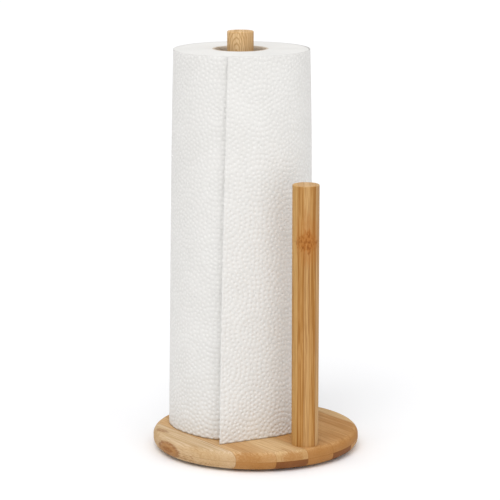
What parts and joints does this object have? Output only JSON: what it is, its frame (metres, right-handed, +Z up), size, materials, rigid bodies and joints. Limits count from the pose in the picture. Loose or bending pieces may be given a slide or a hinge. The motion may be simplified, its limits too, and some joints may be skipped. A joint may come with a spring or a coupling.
{
  "type": "paper towel holder",
  "caption": "Free-standing bamboo paper towel holder: round laminated base, roll post, shorter tear bar, and a roll of embossed white towel that spins and lifts off.",
  "frame": {"origin": "on the table, under the middle of the round base", "axes": "+Z up along the rods; +X from the roll post towards the tear bar, along the staves' grain; +Y across the staves"},
  "size_m": [0.152, 0.152, 0.307],
  "materials": {
    "bamboo_pale": "satin",
    "bamboo_tan": "satin",
    "bamboo_amber": "satin",
    "bamboo_brown": "satin",
    "bamboo_rod": "satin",
    "screw_steel": "satin",
    "pad_rubber": "matte",
    "core_card": "matte",
    "towel_paper": "matte"
  },
  "bodies": {
    "holder": {"base_upper_stave_1": "bamboo_pale", "base_upper_stave_2": "bamboo_tan", "base_upper_stave_3": "bamboo_tan", "base_upper_stave_4": "bamboo_amber", "base_upper_stave_5": "bamboo_amber", "base_upper_stave_6": "bamboo_amber", "base_upper_stave_7": "bamboo_tan", "base_lower_stave_1": "bamboo_pale", "base_lower_stave_2": "bamboo_amber", "base_lower_stave_3": "bamboo_brown", "base_lower_stave_4": "bamboo_amber", "base_lower_stave_5": "bamboo_brown", "base_lower_stave_6": "bamboo_tan", "base_lower_stave_7": "bamboo_tan", "foot_pad_1": "pad_rubber", "foot_pad_2": "pad_rubber", "foot_pad_3": "pad_rubber", "foot_pad_4": "pad_rubber", "roll_post": "bamboo_rod", "tear_bar": "bamboo_rod", "post_screw": "screw_steel", "tear_bar_screw": "screw_steel"},
    "core": {"core_tube": "core_card"},
    "roll": {"paper_log": "towel_paper", "first_sheet": "towel_paper"}
  },
  "joints": [
    {"name": "roll_lift", "type": "slide", "parent": "holder", "child": "core", "axis": [0, 0, 1], "range_m": [0, 0.3]},
    {"name": "roll_spin", "type": "hinge", "parent": "core", "child": "roll", "pos_m": [-0.0192, 0, 0.15], "axis": [0, 0, 1], "continuous": true}
  ]
}
